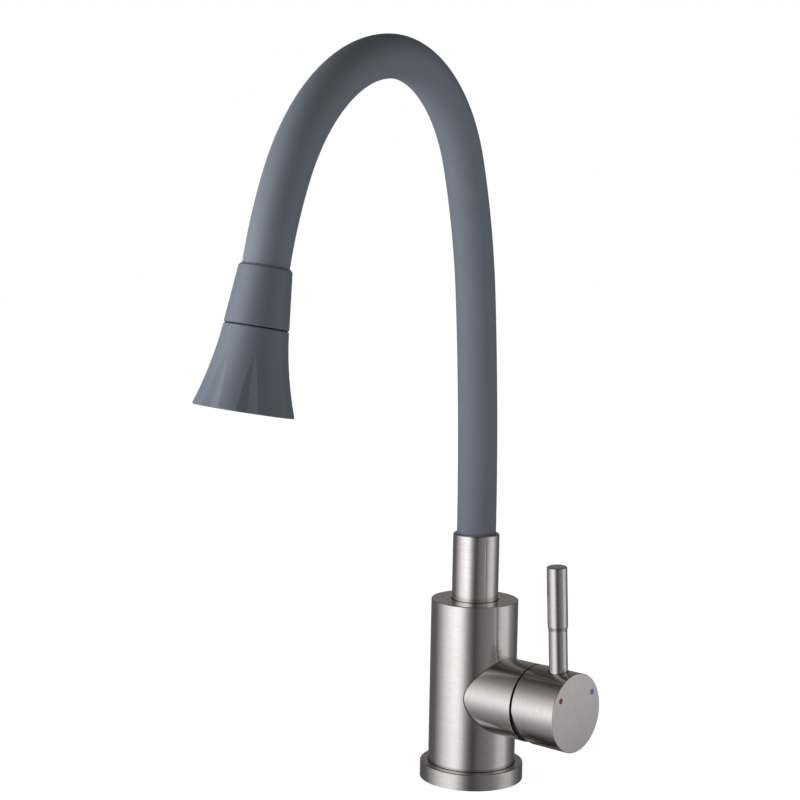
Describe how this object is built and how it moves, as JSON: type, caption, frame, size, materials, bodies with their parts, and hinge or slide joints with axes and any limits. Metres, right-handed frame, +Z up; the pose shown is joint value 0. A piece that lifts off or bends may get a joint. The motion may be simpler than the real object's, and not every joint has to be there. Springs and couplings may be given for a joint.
{
  "type": "kitchen mixer tap",
  "caption": "Steel pillar mixer tap with a side lever, an arched bendable silicone spout and a flared spray head.",
  "frame": {"origin": "on the worktop, at the body's axis, on the underside of the base flange", "axes": "+Z up; +X along the valve arm to the lever; the spout reaches towards -Y, swung 10 degrees towards +X as pictured"},
  "size_m": [0.1031, 0.2615, 0.4739],
  "materials": {
    "steel": "brushed along the turning",
    "steel_inner": "plain turned",
    "brass": "turned",
    "rubber_black": "matte",
    "silicone_grey": "matte silicone",
    "hose_core": "coiled",
    "plastic_grey": "fine matte",
    "plastic_black": "matte",
    "plastic_white": "matte",
    "ceramic_white": "lapped",
    "nozzle_rubber": "soft matte",
    "red": "satin",
    "blue": "satin"
  },
  "bodies": {
    "tap_body": {"base_flange": "steel", "base_seal": "rubber_black", "body_shell": "steel", "valve_body": "brass", "mounting_shank": "brass", "rubber_washer": "rubber_black", "steel_washer": "steel_inner", "backnut": "brass", "swivel_spindle": "brass", "swivel_seals": "rubber_black", "swivel_washer": "plastic_white", "cartridge_base": "plastic_white", "port_seals": "rubber_black", "fixed_disc": "ceramic_white", "cartridge_housing": "plastic_white", "cartridge_nut": "brass", "gap_ring": "plastic_black"},
    "spout": {"spout_ferrule": "steel", "lock_screw": "steel_inner", "hose_tail": "brass", "hose_sleeve_1": "silicone_grey", "hose_core_1": "hose_core"},
    "hose_link_2": {"hose_sleeve_2": "silicone_grey", "hose_core_2": "hose_core"},
    "hose_link_3": {"hose_sleeve_3": "silicone_grey", "hose_core_3": "hose_core"},
    "hose_link_4": {"hose_sleeve_4": "silicone_grey", "hose_core_4": "hose_core"},
    "hose_link_5": {"hose_sleeve_5": "silicone_grey", "hose_core_5": "hose_core"},
    "spray_head": {"hose_sleeve_6": "silicone_grey", "hose_core_6": "hose_core", "head_nipple": "brass", "collar": "plastic_grey", "head_stem": "plastic_white", "head_seal": "rubber_black", "skirt_retainer": "steel_inner"},
    "skirt": {"spray_skirt": "plastic_grey", "spray_plate": "plastic_grey", "spray_nozzles": "nozzle_rubber", "aerator_housing": "plastic_white", "aerator_mesh": "steel_inner"},
    "valve_rotor": {"cartridge_rotor": "plastic_white", "pivot_pin": "steel_inner"},
    "handle": {"valve_spindle": "brass", "handle_cap": "steel", "lever_stem": "steel", "lever_grip": "steel", "hot_mark": "red", "cold_mark": "blue"},
    "disc_slider": {"moving_disc": "ceramic_white", "disc_carrier": "plastic_white"}
  },
  "joints": [
    {"name": "spout_swivel", "type": "hinge", "parent": "tap_body", "child": "spout", "pos_m": [0, 0, 0.12], "axis": [0, 0, 1], "continuous": true},
    {"name": "hose_bend_1", "type": "hinge", "parent": "spout", "child": "hose_link_2", "pos_m": [0.00041, -0.00235, 0.22012], "axis": [0.9848, 0.1736, 0], "range_deg": [-6, 6], "deforming": ["hose_sleeve_1", "hose_sleeve_2"]},
    {"name": "hose_bend_2", "type": "hinge", "parent": "hose_link_2", "child": "hose_link_3", "pos_m": [0.00175, -0.00988, 0.29757], "axis": [0.9848, 0.1736, 0], "range_deg": [-6, 6], "deforming": ["hose_sleeve_2", "hose_sleeve_3"]},
    {"name": "hose_bend_3", "type": "hinge", "parent": "hose_link_3", "child": "hose_link_4", "pos_m": [0.00642, -0.0347, 0.37059], "axis": [0.9848, 0.1736, 0], "range_deg": [-6, 6], "deforming": ["hose_sleeve_3", "hose_sleeve_4"]},
    {"name": "hose_bend_4", "type": "hinge", "parent": "hose_link_4", "child": "hose_link_5", "pos_m": [0.01957, -0.10176, 0.40032], "axis": [0.9848, 0.1736, 0], "range_deg": [-6, 6], "deforming": ["hose_sleeve_4", "hose_sleeve_5"]},
    {"name": "hose_bend_5", "type": "hinge", "parent": "hose_link_5", "child": "spray_head", "pos_m": [0.03072, -0.16827, 0.36527], "axis": [0.9848, 0.1736, 0], "range_deg": [-6, 6], "deforming": ["hose_sleeve_5", "hose_sleeve_6"]},
    {"name": "spray_twist", "type": "hinge", "parent": "spray_head", "child": "skirt", "pos_m": [0.03021, -0.20198, 0.26631], "axis": [-0.0461, -0.155, -0.9868], "range_deg": [0, 90]},
    {"name": "handle_temperature", "type": "hinge", "parent": "tap_body", "child": "valve_rotor", "pos_m": [0.031, 0, 0.0514], "axis": [1, 0, 0], "range_deg": [-45, 45]},
    {"name": "handle_flow", "type": "hinge", "parent": "valve_rotor", "child": "handle", "pos_m": [0.031, 0, 0.0514], "axis": [0, 1, 0], "range_deg": [0, 15]},
    {"name": "disc_slide", "type": "slide", "parent": "valve_rotor", "child": "disc_slider", "axis": [0, 0, 1], "range_m": [0, 0.0036]}
  ],
  "couplings": [
    {"joint": "hose_bend_2", "follows": "hose_bend_1", "ratio": 1},
    {"joint": "hose_bend_3", "follows": "hose_bend_1", "ratio": 1},
    {"joint": "hose_bend_4", "follows": "hose_bend_1", "ratio": 1},
    {"joint": "hose_bend_5", "follows": "hose_bend_1", "ratio": 1},
    {"joint": "disc_slide", "follows": "handle_flow", "m_per_rad": 0.0124}
  ]
}
